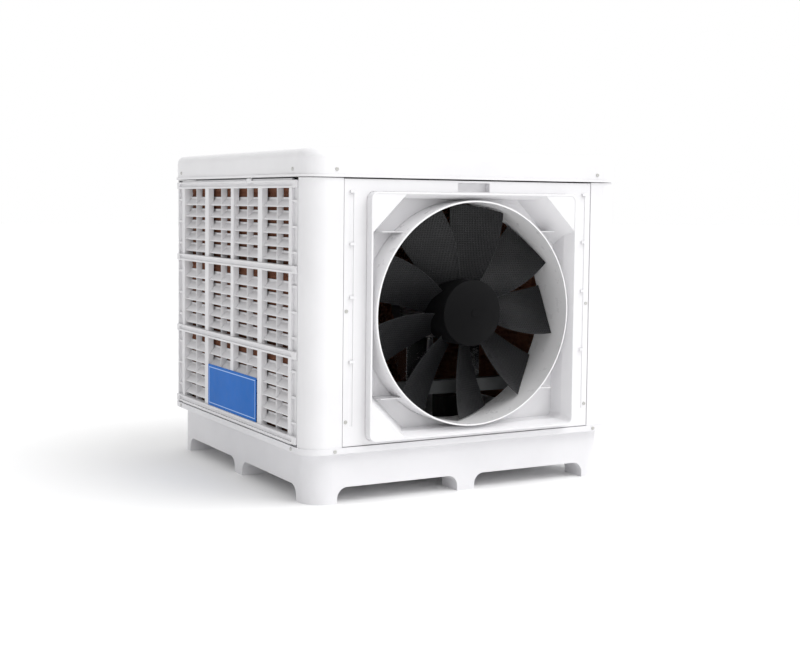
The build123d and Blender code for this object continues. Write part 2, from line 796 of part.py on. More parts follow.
def catch_block(face, grow):
    """Sliding catch in the top rail, or the notch that it moves in."""
    sunk = catch_height / 2 + (catch_travel if grow else 0.0)
    return block(-catch_offset - catch_width / 2 - grow, -catch_offset + catch_width / 2 + grow,
                 face + fit_gap - grow, face + fit_gap + catch_thickness + grow,
                 louvre_top - sunk - grow, louvre_top + catch_height / 2 + grow)


def make_catch(face):
    """Catch that slides down to free the panel from the cover."""
    catch = catch_block(face, 0.0)
    top_edges = catch.edges().filter_by(Axis.Z)
    return chamfer(top_edges, catch_thickness / 4)


def pad_back(face):
    """Inner face of the pad."""
    return face - panel_depth - pad_thickness


def make_pad(face, half):
    """One cellulose pad."""
    end = half - side_margin
    return block(-end, end, pad_back(face), face - panel_depth - fit_gap, pad_bottom, pad_top)


def make_pad_tray(face, half):
    """Channel behind the louvres that holds the pad's edge, with a lip behind it."""
    inner = half - side_margin + pad_fit
    outer = inner + pad_tray_wall
    low = pad_bottom - pad_fit
    high = pad_top + pad_fit
    start = pad_back(face) - fit_gap
    front_edge = face - cell_wall_depth
    tray = block(-outer, outer, start - pad_tray_wall, front_edge,
                 low - pad_tray_wall, high + pad_tray_wall)
    tray -= block(-inner, inner, start, face, low, high)
    tray -= block(-inner + pad_tray_lip, inner - pad_tray_lip, start - pad_tray_wall - 1, start + 1,
                  low + pad_tray_lip, high - pad_tray_lip)
    return tray


def plate_bottom():
    """Lower edge of the name plate, just over the bottom rail."""
    return rail_zs[0] + rail_height / 2 + fit_gap


def plate_half(half):
    """Half length of the name plate."""
    return opening_spans(half)[2][1] - plate_margin


def plate_pin_places():
    """Where the plate's studs enter the panel's middle mullion."""
    low = plate_bottom() + plate_pin_drop
    high = plate_bottom() + plate_height - plate_pin_drop
    return [(0.0, low), (0.0, high)]


def make_name_plate(face, half):
    """Blank blue plate over the two middle columns of openings, with its two studs."""
    outline = RectangleRounded(2 * plate_half(half), plate_height, plate_corner)
    outline = Pos(0, plate_bottom() + plate_height / 2) * outline
    plate = upright(outline, face, face + plate_thickness)
    for x, z in plate_pin_places():
        plate += along_y(plate_pin_radius, face - wall, face + plate_thickness + fit_gap, x, z)
    return plate


# ---------------------------------------------------------------- water system
def make_header(face, low, high):
    """Box-section trough over a pad, with a row of drip holes."""
    middle = face - panel_depth - pad_thickness / 2
    y0 = middle - header_width / 2
    y1 = middle + header_width / 2
    tube = block(low, high, y0, y1, header_bottom, header_bottom + header_height)
    tube -= block(low + header_wall, high - header_wall, y0 + header_wall, y1 - header_wall,
                  header_bottom + header_wall, header_bottom + header_height - header_wall)
    count = int((high - low - 2 * header_hole_pitch) / header_hole_pitch) + 1
    first = (low + high) / 2 - (count - 1) * header_hole_pitch / 2
    holes = [along_z(header_hole_radius, header_bottom - 1, header_bottom + header_wall + 1,
                     first + index * header_hole_pitch, middle) for index in range(count)]
    return tube - holes


def header_line(face):
    """Distance of a header's middle from the centre."""
    return face - panel_depth - pad_thickness / 2


def make_header_links():
    """Two elbow pipes of the rear header that reach the side headers' ends."""
    side_line = header_line(half_x)
    rear_line = header_line(half_y)
    radius = header_link_radius
    links = []
    for side in (-1, 1):
        start = header_rear_end(half_y)
        run = Pos(side * side_line, (start + rear_line) / 2, header_center_z)
        run = run * Rot(90, 0, 0) * Cylinder(radius, rear_line - start)
        ends = sorted((side * header_rear_end(half_x), side * side_line))
        cross = along_x(radius, *ends, y=rear_line, z=header_center_z)
        corner = Pos(side * side_line, rear_line, header_center_z) * Sphere(radius)
        links.append(run + cross + corner)
    return links


def header_rear_end(half):
    """End of a header beside a rear corner."""
    return half - panel_depth - pad_thickness - header_corner_gap


def make_riser():
    """Pump outlet pipe that climbs to the right header."""
    outlet_z = pump_top() - pump_outlet_drop
    start = pump_x + pump_side / 2
    end = header_line(half_x) - header_width / 2
    pipes = []
    for radius, reach in ((riser_radius, 0.0), (riser_radius - riser_wall, 1.0)):
        low = along_x(radius, start - reach, riser_x, y=pump_y, z=outlet_z)
        rise = along_z(radius, outlet_z, header_center_z, riser_x, pump_y)
        high = along_x(radius, riser_x, end + reach, y=pump_y, z=header_center_z)
        bends = [Pos(riser_x, pump_y, height) * Sphere(radius) for height in (outlet_z, header_center_z)]
        pipes.append(low + rise + high + bends)
    return pipes[0] - pipes[1]


def pump_base():
    """Underside of the pump's strainer."""
    return tank_floor_top + fit_gap


def pump_top():
    """Top of the pump."""
    return pump_base() + strainer_height + fit_gap + pump_height


def make_pump():
    """Pump housing, strainer and impeller, in that order."""
    half = pump_side / 2
    low = pump_base() + strainer_height + fit_gap
    housing = Pos(pump_x, pump_y, low) * extrude(RectangleRounded(pump_side, pump_side, pump_corner),
                                                 pump_height)
    housing = fillet(housing.edges().group_by(Axis.Z)[-1], pump_wall)
    motor_room = along_z(half - 3 * pump_wall, low + pump_motor_low, pump_top() - 2 * pump_wall,
                         pump_x, pump_y)
    housing -= motor_room
    housing -= along_z(pump_shaft_radius + shaft_fit, low - 1, low + pump_motor_low + 1, pump_x, pump_y)
    strainer = Pos(pump_x, pump_y, pump_base()) * extrude(
        RectangleRounded(pump_side, pump_side, pump_corner), strainer_height)
    strainer -= along_z(pump_impeller_radius + 2, pump_base() + pump_wall, low + 1, pump_x, pump_y)
    for index in range(strainer_slots):
        offset = (index - (strainer_slots - 1) / 2) * strainer_slot_pitch
        for turn in (0, 90):
            slot = block(-half - 1, half + 1, offset - strainer_slot_pitch / 4,
                         offset + strainer_slot_pitch / 4, 2 * pump_wall, strainer_height - pump_wall)
            strainer -= Pos(pump_x, pump_y, pump_base()) * Rot(0, 0, turn) * slot
    disc_low = pump_base() + 2 * pump_wall
    disc_high = pump_base() + strainer_height - 2 * pump_wall
    impeller = along_z(pump_impeller_radius, disc_low, disc_low + pump_wall, pump_x, pump_y)
    for index in range(pump_vanes):
        vane = block(pump_shaft_radius - 1, pump_impeller_radius - 1, -1.2, 1.2, 0, disc_high - disc_low)
        impeller += Pos(pump_x, pump_y, disc_low) * Rot(0, 0, 360 * index / pump_vanes) * vane
    impeller += along_z(pump_shaft_radius, disc_low, low + pump_motor_low + pump_shaft_reach,
                        pump_x, pump_y)
    return housing, strainer, impeller


def tank_wall_in(half):
    """Inner face of a tank wall."""
    return half - base_inset - base_wall


def tank_wall_out(half):
    """Outer face of a tank wall."""
    return half - base_inset


def float_axis_y():
    """Line that the float arm turns about."""
    return tank_wall_in(half_y) - fit_gap - float_body_side - float_ear_reach


def inlet_stub_radius():
    """Stub of the inlet that passes through the tank wall."""
    return inlet_radius + riser_wall


def make_float_valve():
    """Valve body with its inlet spigot and two ears, the arm with its pin, and the float."""
    inner = tank_wall_in(half_y) - fit_gap
    edge = float_body_side / 2
    body = block(float_x - edge, float_x + edge, inner - float_body_side, inner,
                 float_axis_z - edge, float_axis_z + edge)
    shoulder = tank_wall_out(half_y) + inlet_shoulder
    body += along_y(inlet_stub_radius(), inner - 1, shoulder, float_x, float_axis_z)
    body += along_y(inlet_radius, shoulder, tank_wall_out(half_y) + inlet_length, float_x, float_axis_z)
    body -= along_y(inlet_radius - riser_wall, inner - float_body_side / 2,
                    tank_wall_out(half_y) + inlet_length + 1, float_x, float_axis_z)
    axis_y = float_axis_y()
    for side in (-1, 1):
        ear = sorted((float_x + side * edge, float_x + side * (edge - float_ear)))
        body += block(*ear, axis_y, inner - float_body_side + 1, float_axis_z - float_eye,
                      float_axis_z + float_eye)
        body += along_x(float_eye, *ear, y=axis_y, z=float_axis_z)
    body -= along_x(float_pin_radius + shaft_fit, float_x - edge - 1, float_x + edge + 1,
                    y=axis_y, z=float_axis_z)
    eye_half = edge - float_ear - fit_gap
    eye_radius = float_eye - 1
    arm = along_x(eye_radius, float_x - eye_half, float_x + eye_half, y=axis_y, z=float_axis_z)
    arm += along_y(float_arm_radius, axis_y - float_arm_length, axis_y - float_pin_radius - 1,
                   float_x, float_axis_z)
    arm += along_x(float_pin_radius, float_x - edge, float_x + edge, y=axis_y, z=float_axis_z)
    ball_y = axis_y - float_arm_length - float_radius + float_socket
    ball = along_x(float_radius, float_x - float_length / 2, float_x + float_length / 2,
                   y=ball_y, z=float_axis_z)
    ball = fillet(ball.edges().filter_by(GeomType.CIRCLE), float_radius / 3)
    ball -= along_y(float_arm_radius + shaft_seat, axis_y - float_arm_length, axis_y,
                    float_x, float_axis_z)
    return body, arm, ball


def make_drain():
    """Drain valve through the rear wall, and its quarter-turn handle."""
    inner = tank_wall_in(half_y)
    outer = tank_wall_out(half_y)
    body = along_y(drain_radius, inner - wall, outer + drain_length, drain_x, drain_z)
    body += along_y(drain_body_radius, outer + fit_gap, outer + drain_body_length, drain_x, drain_z)
    body -= along_y(drain_radius - riser_wall, inner - wall - 1, outer + drain_length + 1,
                    drain_x, drain_z)
    stem_y = outer + drain_body_length / 2
    top = drain_z + drain_body_radius
    body -= along_z(drain_stem_radius + shaft_fit, drain_z, top + 1, drain_x, stem_y)
    handle = along_z(drain_stem_radius, drain_z + drain_radius, top + wall, drain_x, stem_y)
    lever = block(drain_x - drain_stem_radius, drain_x + drain_handle, stem_y - drain_stem_radius,
                  stem_y + drain_stem_radius, top + fit_gap, top + wall)
    return body, handle + lever


def make_overflow():
    """Overflow pipe that stands through the tank floor."""
    pipe = along_z(overflow_radius, fork_height - overflow_reach, overflow_top_z, overflow_x, overflow_y)
    pipe += along_z(overflow_radius + wall, tank_floor_top + fit_gap, tank_floor_top + wall,
                    overflow_x, overflow_y)
    return pipe - along_z(overflow_radius - riser_wall, 0, overflow_top_z + 1, overflow_x, overflow_y)


# ---------------------------------------------------------------- controls
def make_control_box():
    """Electrical box behind the fan panel's corner, and its lid."""
    y0 = outlet_back
    y1 = y0 + box_depth
    x1 = box_corner_x + box_width
    z1 = box_corner_z + box_height
    body = block(box_corner_x, x1, y0, y1, box_corner_z, z1)
    body = fillet(body.edges().filter_by(Axis.Y), box_wall)
    body -= block(box_corner_x + box_wall, x1 - box_wall, y0 + box_wall, y1 + 1,
                  box_corner_z + box_wall, z1 - box_wall)
    lid = block(box_corner_x, x1, y1 + fit_gap, y1 + fit_gap + box_wall, box_corner_z, z1)
    lid = fillet(lid.edges().filter_by(Axis.Y), box_wall)
    return body, lid


def make_gland():
    """Cable gland through the right wall of the tank, over the water."""
    inner = tank_wall_in(half_x)
    outer = tank_wall_out(half_x)
    gland = along_x(gland_radius, inner - 2 * wall, outer + gland_length, gland_y, gland_z)
    nut = Pos(0, gland_y, gland_z) * Rot(0, 90, 0) * extrude(RegularPolygon(gland_nut_radius, 6), wall)
    gland += Pos(outer + fit_gap, 0, 0) * nut
    gland += Pos(inner - fit_gap - wall, 0, 0) * nut
    return gland - along_x(gland_bore, inner - 2 * wall - 1, outer + gland_length + 1, gland_y, gland_z)


# ---------------------------------------------------------------- fasteners
def screw(place, head_radius, head_height, shank_radius, length):
    """A fastener at a place whose Z axis points out of the head."""
    head = Pos(0, 0, head_height / 2) * Cylinder(head_radius, head_height)
    head = fillet(head.edges().group_by(Axis.Z)[-1], head_height * 0.6)
    head -= Pos(0, 0, head_height) * Cylinder(head_radius * 0.35, head_height)
    shank = Pos(0, 0, -length / 2) * Cylinder(shank_radius, length)
    return place * (head + shank)


def small_screws(places):
    """A group of self-tapping screws."""
    return [screw(place, screw_head_radius, screw_head_height, screw_shank_radius, screw_length)
            for place in places]


def bolts(places, length):
    """A group of machine bolts."""
    return [screw(place, bolt_head_radius, bolt_head_height, bolt_shank_radius, length)
            for place in places]


def drilled(shape, places, radius, length):
    """A shape with a clearance hole at each fastener's place."""
    tools = [place * Pos(0, 0, -length / 2 + 0.5) * Cylinder(radius + hole_gap, length + 1)
             for place in places]
    return shape - tools


def faced(side, along, height, distance):
    """Place on one of the four upright sides, Z axis outwards. Side 0 is the front."""
    turn = Rot(0, 0, 90 * side)
    return turn * Pos(along, -distance, height) * Rot(90, 0, 0)


def side_distance(side, grow):
    """Distance of a side's face from the centre."""
    return (half_y if side % 2 == 0 else half_x) + grow


def side_run(side):
    """Half length of a side."""
    return half_x if side % 2 == 0 else half_y


def rim_screw_places():
    """Two screws in the rim of each side."""
    height = tank_rim_bottom + rim_height / 2
    return [faced(side, sign * (side_run(side) - corner_screw_inset), height,
                  side_distance(side, rim_proud)) for side in range(4) for sign in (-1, 1)]


def cover_screw_places():
    """Two screws in each side of the cover."""
    height = cover_bottom + cover_screw_height
    return [faced(side, sign * (side_run(side) - corner_screw_inset), height,
                  side_distance(side, cover_overhang - cover_lip_in))
            for side in range(4) for sign in (-1, 1)]


def panel_screw_places():
    """Screws down both edges of the fan panel."""
    return [faced(0, sign * (panel_half - panel_screw_inset), height, half_y - panel_inset)
            for sign in (-1, 1) for height in panel_screw_heights]


def duct_screw_places():
    """Screws from behind through the duct's front flange."""
    places = []
    radius = duct_radius + duct_flange / 2
    back = outlet_back + fit_gap + wall
    for index in range(duct_screws):
        angle = math.radians(360 * (index + 0.5) / duct_screws)
        x = radius * math.cos(angle)
        z = fan_z + radius * math.sin(angle)
        places.append(Pos(x, back, z) * Rot(-90, 0, 0))
    return places


def motor_bolt_places():
    """Bolts from under the shelf into the motor's feet."""
    x = motor_foot_in + motor_foot_width / 2
    z = bracket_shelf_z() - bracket_sheet
    inset = motor_foot_width
    return [Pos(side * x, y, z) * Rot(180, 0, 0)
            for side in (-1, 1) for y in (motor_front + inset, motor_back - inset)]


def bracket_bolt_places():
    """Bolts from behind through the bracket's legs into the beam."""
    y = duct_back + fit_gap + beam_depth + bracket_sheet
    x = bracket_half - bracket_leg / 2
    return [Pos(side * (x + shift), y, fan_z - beam_drop) * Rot(-90, 0, 0)
            for side in (-1, 1) for shift in (-bracket_leg / 4, bracket_leg / 4)]


def beam_bolt_places():
    """Bolts from behind through the beam and the duct's rear flange."""
    radius = duct_radius + duct_flange / 2
    x = math.sqrt(radius ** 2 - beam_drop ** 2)
    y = duct_back + fit_gap + beam_depth
    return [Pos(side * x, y, fan_z - beam_drop) * Rot(-90, 0, 0) for side in (-1, 1)]


# ---------------------------------------------------------------- build and write
def turned(shape, side):
    """A panel drawn facing +Y, turned to the rear, left or right."""
    return Rot(0, 0, {"rear": 0, "left": 90, "right": -90}[side]) * shape


def write_casing():
    """Base tank, columns, fan panel, duct, cover and their screws."""
    tank, tank_floor, feet = make_base()
    tank = drilled(tank, rim_screw_places(), screw_shank_radius, screw_length)
    wall_y = (tank_wall_in(half_y) - 1, tank_wall_out(half_y) + 1)
    wall_x = (tank_wall_in(half_x) - 1, tank_wall_out(half_x) + 1)
    tank -= along_y(inlet_stub_radius() + hole_gap, *wall_y, float_x, float_axis_z)
    tank -= along_y(drain_radius + hole_gap, *wall_y, drain_x, drain_z)
    tank -= along_x(gland_radius + hole_gap, *wall_x, gland_y, gland_z)
    tank_floor -= along_z(overflow_radius + hole_gap, 0, tank_floor_top + 1, overflow_x, overflow_y)
    save("base_tank", tank)
    save("tank_floor", tank_floor)
    save("tank_feet", feet)
    for name, column in make_columns().items():
        save(name, column)
    panel = drilled(make_fan_panel(), panel_screw_places(), screw_shank_radius, screw_length)
    save("fan_panel", panel)
    outlet = drilled(make_outlet_frame(), duct_screw_places(), screw_shank_radius, screw_length)
    save("outlet_frame", outlet)
    duct = drilled(make_duct(), duct_screw_places(), screw_shank_radius, screw_length)
    duct = drilled(duct, beam_bolt_places(), bolt_shank_radius, beam_bolt_length())
    save("fan_duct", duct)
    cover = drilled(make_top_cover(), cover_screw_places(), screw_shank_radius, screw_length)
    save("top_cover", cover)
    places = rim_screw_places() + panel_screw_places() + cover_screw_places() + duct_screw_places()
    save("casing_screws", Compound(children=small_screws(places)))


def beam_bolt_length():
    """Reach of the bolts through beam and flange."""
    return beam_depth + fit_gap + 2 * wall


def write_fan():
    """Everything that turns with the motor's shaft."""
    save("fan_hub", make_hub())
    save("hub_cap", make_hub_cap())
    swept_ring = along_y(fan_radius, hub_front, duct_back) - along_y(hub_radius, hub_front, duct_back)
    blade = make_blade() & swept_ring
    for index in range(blade_count):
        angle = blade_first_angle + 360.0 * index / blade_count
        save("fan_blade_%d" % (index + 1), Pos(0, 0, fan_z) * Rot(0, angle, 0) * blade)
    _, _, _, rear_seat = make_motor_bells()
    shaft_front = hub_web_front() - fit_gap
    save("motor_shaft", along_y(shaft_radius, shaft_front, rear_seat - 1, z=fan_z))
    save("motor_rotor", make_rotor())


def write_motor():
    """Motor, its bearings and the steelwork that carries it."""
    front_bell, rear_bell, front_seat, rear_seat = make_motor_bells()
    housing = drilled(make_motor_housing(), motor_bolt_places(), bolt_shank_radius, motor_bolt_length)
    save("motor_housing", housing)
    save("motor_bells", Compound(children=[front_bell, rear_bell]))
    save("motor_stator", make_stator())
    bearings = [make_bearing(front_seat + fit_gap), make_bearing(rear_seat - bearing_width - fit_gap)]
    save("motor_bearings", Compound(children=bearings))
    save("motor_cowl", make_cowl())
    beam = drilled(make_beam(), bracket_bolt_places(), bolt_shank_radius, bracket_bolt_length)
    beam = drilled(beam, beam_bolt_places(), bolt_shank_radius, beam_bolt_length())
    save("motor_beam", beam)
    bracket = drilled(make_bracket(), motor_bolt_places(), bolt_shank_radius, motor_bolt_length)
    bracket = drilled(bracket, bracket_bolt_places(), bolt_shank_radius, bracket_bolt_length)
    save("motor_bracket", bracket)
    group = bolts(motor_bolt_places(), motor_bolt_length) + bolts(bracket_bolt_places(), bracket_bolt_length)
    group += bolts(beam_bolt_places(), beam_bolt_length())
    save("motor_bolts", Compound(children=group))


def write_panels():
    """Three louvre panels with their pads and catches, and the name plate."""
    for side, face, half in (("left", half_x, side_half), ("right", half_x, side_half),
                             ("rear", half_y, rear_half)):
        louvre = make_louvre(face, half)
        if side == "left":
            holes = [along_y(plate_pin_radius + hole_gap, face - panel_sheet, face + 1, x, z)
                     for x, z in plate_pin_places()]
            louvre -= holes
            save("name_plate", turned(make_name_plate(face, half), side))
        save("louvre_panel_" + side, turned(louvre, side))
        save("pad_tray_" + side, turned(make_pad_tray(face, half), side))
        save("cooling_pad_" + side, turned(make_pad(face, half), side))
        save("panel_catch_" + side, turned(make_catch(face), side))


def write_water():
    """Headers, riser, pump, float valve, drain and overflow."""
    front_end = half_y - column_side_width + header_overlap
    side_end = header_rear_end(half_y)
    left_header = turned(make_header(half_x, -front_end, side_end), "left")
    right_header = turned(make_header(half_x, -side_end, front_end), "right")
    rear_end = header_rear_end(half_x)
    rear_header = make_header(half_y, -rear_end, rear_end) + make_header_links()
    save("water_headers", Compound(children=[left_header, right_header, rear_header]))
    save("riser_pipe", make_riser())
    housing, strainer, impeller = make_pump()
    save("pump_housing", housing)
    save("pump_strainer", strainer)
    save("pump_impeller", impeller)
    body, arm, ball = make_float_valve()
    save("float_valve_body", body)
    save("float_arm", arm)
    save("float_ball", ball)
    body, handle = make_drain()
    save("drain_valve_body", body)
    save("drain_valve_handle", handle)
    save("overflow_pipe", make_overflow())


def write_controls():
    """Control box, its lid and the cable gland."""
    body, lid = make_control_box()
    save("control_box", body)
    save("control_box_lid", lid)
    save("cable_gland", make_gland())


os.makedirs("parts", exist_ok=True)
write_casing()
write_fan()
write_motor()
write_panels()
write_water()
write_controls()
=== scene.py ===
"""Looks for a side-discharge evaporative cooler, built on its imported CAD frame.

Metres, +Z up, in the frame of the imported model. Every CAD node keeps its shape and gets a
procedural material; the three plain pad blocks are replaced by fluted cellulose pads.
"""
import json
import math

import bpy
from mathutils import Matrix, Vector


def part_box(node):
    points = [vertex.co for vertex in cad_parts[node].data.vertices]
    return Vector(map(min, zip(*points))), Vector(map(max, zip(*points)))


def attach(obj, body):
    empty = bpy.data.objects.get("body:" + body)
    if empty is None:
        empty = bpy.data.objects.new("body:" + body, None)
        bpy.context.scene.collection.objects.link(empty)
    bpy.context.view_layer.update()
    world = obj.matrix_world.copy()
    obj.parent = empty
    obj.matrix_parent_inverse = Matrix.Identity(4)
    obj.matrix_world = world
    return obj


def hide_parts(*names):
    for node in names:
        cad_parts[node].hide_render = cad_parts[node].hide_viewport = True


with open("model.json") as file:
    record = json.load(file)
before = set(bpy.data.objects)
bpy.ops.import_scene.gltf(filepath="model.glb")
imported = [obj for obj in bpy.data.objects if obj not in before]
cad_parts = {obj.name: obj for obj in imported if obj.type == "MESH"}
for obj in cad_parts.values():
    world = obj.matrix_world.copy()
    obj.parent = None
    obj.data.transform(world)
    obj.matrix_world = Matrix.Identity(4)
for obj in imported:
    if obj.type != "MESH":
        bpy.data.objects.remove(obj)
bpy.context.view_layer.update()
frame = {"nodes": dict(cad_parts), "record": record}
nodes = frame["nodes"]


# ---------------------------------------------------------------- material kit
class Finish:
    """A material under construction, with short calls that add and join shader nodes."""

    def __init__(self, name):
        self.material = bpy.data.materials.new(name)
        self.material.use_nodes = True
        self.tree = self.material.node_tree
        self.tree.nodes.clear()
        self.shader = self.add("ShaderNodeBsdfPrincipled")
        output = self.add("ShaderNodeOutputMaterial")
        self.join(self.shader.outputs["BSDF"], output.inputs["Surface"])
        self.place = self.add("ShaderNodeTexCoord").outputs["Object"]
        self.normal = None

    def add(self, kind, **settings):
        node = self.tree.nodes.new(kind)
        for key, value in settings.items():
            setattr(node, key, value)
        return node

    def join(self, source, socket):
        self.tree.links.new(source, socket)

    def feed(self, socket, value):
        """A number, a colour or another node's output into a socket."""
        if isinstance(value, bpy.types.NodeSocket):
            self.join(value, socket)
        elif hasattr(value, "__len__") and len(value) == 3 and socket.type == "RGBA":
            socket.default_value = (*value, 1.0)
        else:
            socket.default_value = value

    def stretched(self, scale):
        """The object's coordinates stretched along each axis."""
        mapping = self.add("ShaderNodeMapping")
        self.join(self.place, mapping.inputs["Vector"])
        mapping.inputs["Scale"].default_value = scale
        return mapping.outputs["Vector"]

    def noise(self, scale, detail=3.0, rough=0.55, place=None):
        node = self.add("ShaderNodeTexNoise")
        self.join(place or self.place, node.inputs["Vector"])
        node.inputs["Scale"].default_value = scale
        node.inputs["Detail"].default_value = detail
        node.inputs["Roughness"].default_value = rough
        return node.outputs["Fac"]

    def math(self, operation, a, b=0.0, clamp=False):
        node = self.add("ShaderNodeMath", operation=operation, use_clamp=clamp)
        self.feed(node.inputs[0], a)
        self.feed(node.inputs[1], b)
        return node.outputs[0]

    def span(self, value, low, high, to_low=0.0, to_high=1.0):
        """A value moved from one span to another, and held inside it."""
        node = self.add("ShaderNodeMapRange")
        self.feed(node.inputs["Value"], value)
        node.inputs["From Min"].default_value = low
        node.inputs["From Max"].default_value = high
        node.inputs["To Min"].default_value = to_low
        node.inputs["To Max"].default_value = to_high
        return node.outputs["Result"]

    def mix(self, amount, a, b):
        """Colour a, turning into colour b as the amount rises."""
        node = self.add("ShaderNodeMix", data_type="RGBA")
        self.feed(node.inputs[0], amount)
        self.feed(node.inputs[6], a)
        self.feed(node.inputs[7], b)
        return node.outputs[2]

    def edges(self, radius):
        """Rounds edges in the shading, and returns how near a point is to an edge."""
        bevel = self.add("ShaderNodeBevel", samples=4)
        bevel.inputs["Radius"].default_value = radius
        self.normal = bevel.outputs["Normal"]
        plain = self.add("ShaderNodeNewGeometry").outputs["Normal"]
        dot = self.add("ShaderNodeVectorMath", operation="DOT_PRODUCT")
        self.join(self.normal, dot.inputs[0])
        self.join(plain, dot.inputs[1])
        return self.span(dot.outputs["Value"], 1.0, 0.78)

    def bump(self, height, distance, strength=1.0):
        """Adds a relief of that depth, in metres."""
        node = self.add("ShaderNodeBump")
        node.inputs["Strength"].default_value = strength
        node.inputs["Distance"].default_value = distance
        self.feed(node.inputs["Height"], height)
        if self.normal is not None:
            self.join(self.normal, node.inputs["Normal"])
        self.normal = node.outputs["Normal"]

    def done(self, colour, rough, **constants):
        """Fills in the shader's sockets and returns the material."""
        self.feed(self.shader.inputs["Base Color"], colour)
        self.feed(self.shader.inputs["Roughness"], rough)
        for key, value in constants.items():
            self.shader.inputs[key.replace("_", " ")].default_value = value
        if self.normal is not None:
            self.join(self.normal, self.shader.inputs["Normal"])
        return self.material


def moulded(name, colour, shade, rough, grain, dust=0.25, edge=0.0016, shine=0.5):
    """Injection-moulded plastic: fine grain, slow sink marks, faint dust and rubbed edges."""
    f = Finish(name)
    near_edge = f.edges(edge) if edge else 0.0
    patches = f.span(f.noise(4.5, 5.0), 0.38, 0.66)
    specks = f.span(f.noise(160.0, 2.0), 0.62, 0.74)
    body = f.mix(f.math("MULTIPLY", patches, 0.6), colour, shade)
    body = f.mix(f.math("MULTIPLY", specks, dust * 0.25), body, shade)
    rubbed = f.math("MULTIPLY", near_edge, f.span(f.noise(55.0, 3.0), 0.35, 0.65))
    body = f.mix(f.math("MULTIPLY", rubbed, dust), body, [min(1.0, c * 1.12) for c in colour])
    f.bump(f.noise(9.0, 2.0), 0.0016, 0.35)
    f.bump(f.noise(1400.0, 2.0), 0.00012 * grain)
    gloss = f.span(f.noise(30.0, 4.0), 0.3, 0.7, rough - 0.05, rough + 0.08)
    return f.done(body, gloss, IOR=1.48, Specular_IOR_Level=shine)


def dimpled_fan(name):
    """Black fan blade with rows of small dimples, painted shade in the dimple pits, dust near its edges and a satin
    sheen.
    """
    f = Finish(name)
    near_edge = f.edges(0.0018)
    split = f.add("ShaderNodeSeparateXYZ")
    f.join(f.place, split.inputs[0])
    steps = []
    for axis in ("X", "Z"):
        cell = f.math("FRACT", f.math("MULTIPLY", split.outputs[axis], 1 / 0.0068))
        steps.append(f.math("POWER", f.math("SUBTRACT", cell, 0.5), 2.0))
    reach = f.math("SQRT", f.math("ADD", steps[0], steps[1]))
    # dimple mask: drives the pit bump and the painted shade darkening the pits
    pit_and_painted_shade = f.span(reach, 0.20, 0.34)
    dust = f.span(f.noise(12.0, 6.0, 0.65), 0.45, 0.72)
    body = f.mix(f.math("MULTIPLY", dust, 0.4), (0.014, 0.0145, 0.016), (0.034, 0.034, 0.035))
    # painted shade: the dimple pits are darkened to near-black
    body = f.mix(pit_and_painted_shade, (0.0025, 0.0025, 0.003), body)
    body = f.mix(f.math("MULTIPLY", near_edge, 0.35), body, (0.10, 0.10, 0.105))
    f.bump(pit_and_painted_shade, 0.0020, 1.0)
    f.bump(f.noise(900.0, 2.0), 0.0001)
    rough = f.span(f.noise(25.0, 3.0), 0.3, 0.7, 0.30, 0.46)
    return f.done(body, rough, Specular_IOR_Level=0.32)


def metal(name, colour, shade, rough, stretch=(1, 1, 1), scale=300.0, depth=0.00008, edge=0.0012):
    """Bare metal with a directional or cast grain, stains and brighter worn edges."""
    f = Finish(name)
    near_edge = f.edges(edge)
    grain = f.noise(scale, 4.0, 0.6, f.stretched(stretch))
    stain = f.span(f.noise(14.0, 5.0), 0.40, 0.70)
    body = f.mix(f.math("MULTIPLY", stain, 0.55), colour, shade)
    body = f.mix(f.math("MULTIPLY", near_edge, 0.5), body, [min(1.0, c * 1.25) for c in colour])
    f.bump(grain, depth)
    gloss = f.math("ADD", f.span(grain, 0.3, 0.7, rough - 0.05, rough + 0.10), f.math("MULTIPLY", stain, 0.08))
    return f.done(body, gloss, Metallic=1.0)


def cellulose(name):
    """Wet-pad paper: resin-dipped kraft with fibres, scale at the edges and darker depths."""
    f = Finish(name)
    fibres = f.noise(420.0, 5.0, 0.7, f.stretched((1.0, 0.35, 0.35)))
    stains = f.span(f.noise(9.0, 6.0, 0.6), 0.35, 0.7)
    body = f.mix(fibres, (0.125, 0.040, 0.021), (0.36, 0.145, 0.075))
    body = f.mix(f.math("MULTIPLY", stains, 0.45), body, (0.085, 0.030, 0.018))
    scale_marks = f.span(f.noise(70.0, 3.0), 0.60, 0.75)
    body = f.mix(f.math("MULTIPLY", scale_marks, 0.22), body, (0.50, 0.38, 0.28))
    f.bump(fibres, 0.0004, 0.7)
    return f.done(body, f.span(fibres, 0.2, 0.8, 0.70, 0.95))


def printed_plate(name):
    """Blue printed sheet with a thin pale keyline inside its edge and no lettering."""
    f = Finish(name)
    low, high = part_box("name_plate")
    split = f.add("ShaderNodeSeparateXYZ")
    f.join(f.place, split.inputs[0])
    f.edges(0.0008)
    patches = f.span(f.noise(10.0, 4.0), 0.35, 0.7)
    body = f.mix(patches, (0.012, 0.145, 0.53), (0.020, 0.165, 0.59))
    inset = []
    for axis, i in (("Y", 1), ("Z", 2)):
        middle = (low[i] + high[i]) / 2
        half = (high[i] - low[i]) / 2
        away = f.math("ABSOLUTE", f.math("SUBTRACT", split.outputs[axis], middle))
        inset.append(f.math("SUBTRACT", half, away))
    nearest = f.math("MINIMUM", inset[0], inset[1])
    line = f.math("ABSOLUTE", f.math("SUBTRACT", nearest, 0.009))
    body = f.mix(f.span(line, 0.0016, 0.0010), body, (0.42, 0.60, 0.90))
    f.bump(f.noise(700.0, 2.0), 0.00008)
    return f.done(body, f.span(f.noise(40.0), 0.3, 0.7, 0.34, 0.46), Specular_IOR_Level=0.05)


